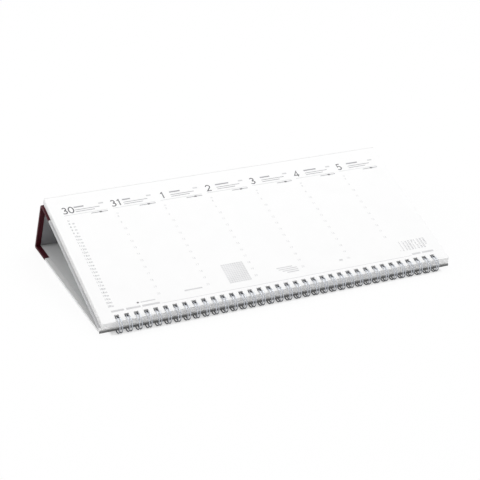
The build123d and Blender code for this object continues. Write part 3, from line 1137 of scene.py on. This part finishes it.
class CALENDAR_OT_spine_cloth(bpy.types.Operator):
    """Wrap the dark red cloth round the back of the stand"""
    bl_idname = "calendar.spine_cloth"
    bl_label = "Spine cloth"

    def cloth_shape(self, cloth, path):
        """Closed shape of the cloth, its section swept along its path, with its wear."""
        shape = bmesh.new()
        wear = shape.verts.layers.float.new("fold_wear")
        rings = []
        for across, depth in cloth_section(cloth):
            ring = []
            for point, wear_and_shade in path.row(depth):
                vertex = shape.verts.new((across, point.x, point.y))
                vertex[wear] = wear_and_shade
                ring.append(vertex)
            rings.append(ring)
        for index, ring in enumerate(rings):
            following = rings[(index + 1) % len(rings)]
            for corners in zip(ring, ring[1:], following[1:], following):
                shape.faces.new(corners)
        shape.faces.new([ring[0] for ring in rings])
        shape.faces.new([ring[-1] for ring in reversed(rings)])
        bmesh.ops.remove_doubles(shape, verts=shape.verts[:], dist=CLOTH_WELD)
        bmesh.ops.dissolve_degenerate(shape, edges=shape.edges[:], dist=CLOTH_WELD)
        bmesh.ops.triangulate(shape, faces=[face for face in shape.faces if len(face.verts) > 4])
        bmesh.ops.recalc_face_normals(shape, faces=shape.faces[:])
        return shape

    def execute(self, context):
        cloth = settings().cloth
        path = ClothPath(cloth, settings().leaf.slope)
        shape = self.cloth_shape(cloth, path)
        piece = new_piece("leather_grain_cloth", mesh_from_bmesh("leather_grain_cloth", shape))
        piece.data.materials.append(cloth_material())
        smooth_piece(piece, CLOTH_CREASE)
        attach(piece, STAND)
        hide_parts("spine_cloth")
        return {"FINISHED"}


class CALENDAR_OT_stage(bpy.types.Operator):
    """Set the pale floor, the soft lamps, the white surroundings and the camera"""
    bl_idname = "calendar.stage"
    bl_label = "Stage"

    def seen_mask(self, maker, camera_share, mirror_share):
        """Share of plain white that the camera, mirrors and glass see; 0 for light on the object."""
        rays = maker.node("ShaderNodeLightPath")
        seen = maker.math("MULTIPLY", rays["Is Camera Ray"], camera_share)
        for label in ("Is Glossy Ray", "Is Transmission Ray"):
            seen = maker.math("MAXIMUM", seen, maker.math("MULTIPLY", rays[label], mirror_share))
        return seen

    def under_mask(self, shading):
        """Mask of the floor under the calendar, where more of the shadow is kept."""
        low, high = cad_box
        under = 1.0
        for axis, inset in enumerate(FLOOR_INSETS):
            for sign, corner in ((1.0, low), (-1.0, -high)):
                direction = [0.0, 0.0, 0.0]
                direction[axis] = sign
                edge = corner[axis] + inset * MM
                under = shading.math("MULTIPLY", shading.band(direction, edge, edge + FLOOR_FADE * MM), under)
        return under

    def show(self, maker, mask, lit, white, output):
        """Ends a tree in a mix of what is lit and plain white."""
        mixed = maker.node("ShaderNodeMixShader", {0: mask, 1: lit, 2: white})[0]
        maker.feed(maker.tree.nodes[output].inputs["Surface"], mixed)

    def floor(self, stage):
        """Pale floor that keeps the object's shadow."""
        half = stage.floor_side / 2
        mesh = bpy.data.meshes.new("floor")
        corners = [(-half, -half, 0), (half, -half, 0), (half, half, 0), (-half, half, 0)]
        mesh.from_pydata(corners, [], [(0, 1, 2, 3)])
        floor = new_piece("floor", mesh)
        shading = Shading("floor_white")
        tint = opaque(settings().finish.floor_white)
        shading.surface({"Base Color": tint, "Roughness": 0.9, "Specular IOR Level": 0.0})
        clear = shading.math("MULTIPLY_ADD", self.under_mask(shading), -FLOOR_SHADE, 1.0)
        mask = shading.math("MULTIPLY", self.seen_mask(shading, FLOOR_SEEN, FLOOR_MIRRORED), clear)
        glow = shading.node("ShaderNodeEmission")[0]
        self.show(shading, mask, shading.shader.outputs[0], glow, "Material Output")
        mesh.materials.append(shading.material)

    def surroundings(self, stage):
        """Even light, seen as plain white."""
        world = bpy.data.worlds.new("white_surroundings")
        world.use_nodes = True
        maker = NodeMaker(world.node_tree)
        even = world.node_tree.nodes["Background"]
        maker.feed(even.inputs["Color"], WHITE)
        maker.feed(even.inputs["Strength"], stage.sky)
        white = maker.node("ShaderNodeBackground", {"Color": WHITE, "Strength": 1.0})[0]
        self.show(maker, self.seen_mask(maker, 1.0, 1.0), even.outputs[0], white, "World Output")
        bpy.context.scene.world = world

    def lamp(self, name, place, side, power):
        """Large soft lamp that points at the calendar."""
        light = bpy.data.lights.new(name, "AREA")
        light.shape = "DISK"
        light.size = side
        light.energy = power
        lamp = new_piece(name, light)
        lamp.location = place
        lamp.rotation_mode = "QUATERNION"
        lamp.rotation_quaternion = (-Vector(place)).to_track_quat("-Z", "Y")

    def execute(self, context):
        stage = settings().stage
        self.floor(stage)
        self.surroundings(stage)
        for label, (place, side) in LAMPS.items():
            self.lamp(f"{label}_lamp", place, side, getattr(stage, label))
        camera = bpy.data.cameras.new("camera")
        camera.lens = stage.lens
        camera.clip_start, camera.clip_end = CAMERA_CLIP
        holder = new_piece("camera", camera)
        holder.location = stage.camera_place
        holder.rotation_euler = stage.camera_turn
        bpy.context.scene.camera = holder
        bpy.context.scene.view_settings.view_transform = "Standard"
        return {"FINISHED"}


class CALENDAR_PT_looks(bpy.types.Panel):
    """Sizes, colours and steps of the calendar's looks"""
    bl_idname = "CALENDAR_PT_looks"
    bl_label = "Desk Calendar"
    bl_space_type = "VIEW_3D"
    bl_region_type = "UI"
    bl_category = "Calendar"

    def draw(self, context):
        layout = self.layout
        for operator in OPERATORS:
            layout.operator(operator.bl_idname)
        chosen = context.scene.desk_calendar
        for label in CalendarSettings.__annotations__:
            box = layout.box()
            box.label(text=label.title())
            group = getattr(chosen, label)
            for name in group.__annotations__:
                box.prop(group, name)


OPERATORS = (
    CALENDAR_OT_leaves,
    CALENDAR_OT_leaf_print,
    CALENDAR_OT_binding_wire,
    CALENDAR_OT_stand_papers,
    CALENDAR_OT_spine_cloth,
    CALENDAR_OT_stage,
)
GROUPS = (LeafSizes, WireSizes, ClothSizes, PrintSizes, Finishes, StageSizes, CalendarSettings)
CLASSES = (*GROUPS, *OPERATORS, CALENDAR_PT_looks)


def register():
    """Registers the settings, the operators and the panel."""
    for item in CLASSES:
        bpy.utils.register_class(item)
    bpy.types.Scene.desk_calendar = PointerProperty(type=CalendarSettings)


def unregister():
    """Removes what register added."""
    del bpy.types.Scene.desk_calendar
    for item in reversed(CLASSES):
        bpy.utils.unregister_class(item)


def main():
    """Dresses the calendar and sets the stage."""
    register()
    bpy.ops.calendar.leaves()
    bpy.ops.calendar.leaf_print()
    bpy.ops.calendar.binding_wire()
    bpy.ops.calendar.stand_papers()
    bpy.ops.calendar.spine_cloth()
    bpy.ops.calendar.stage()


if __name__ == "__main__":
    main()
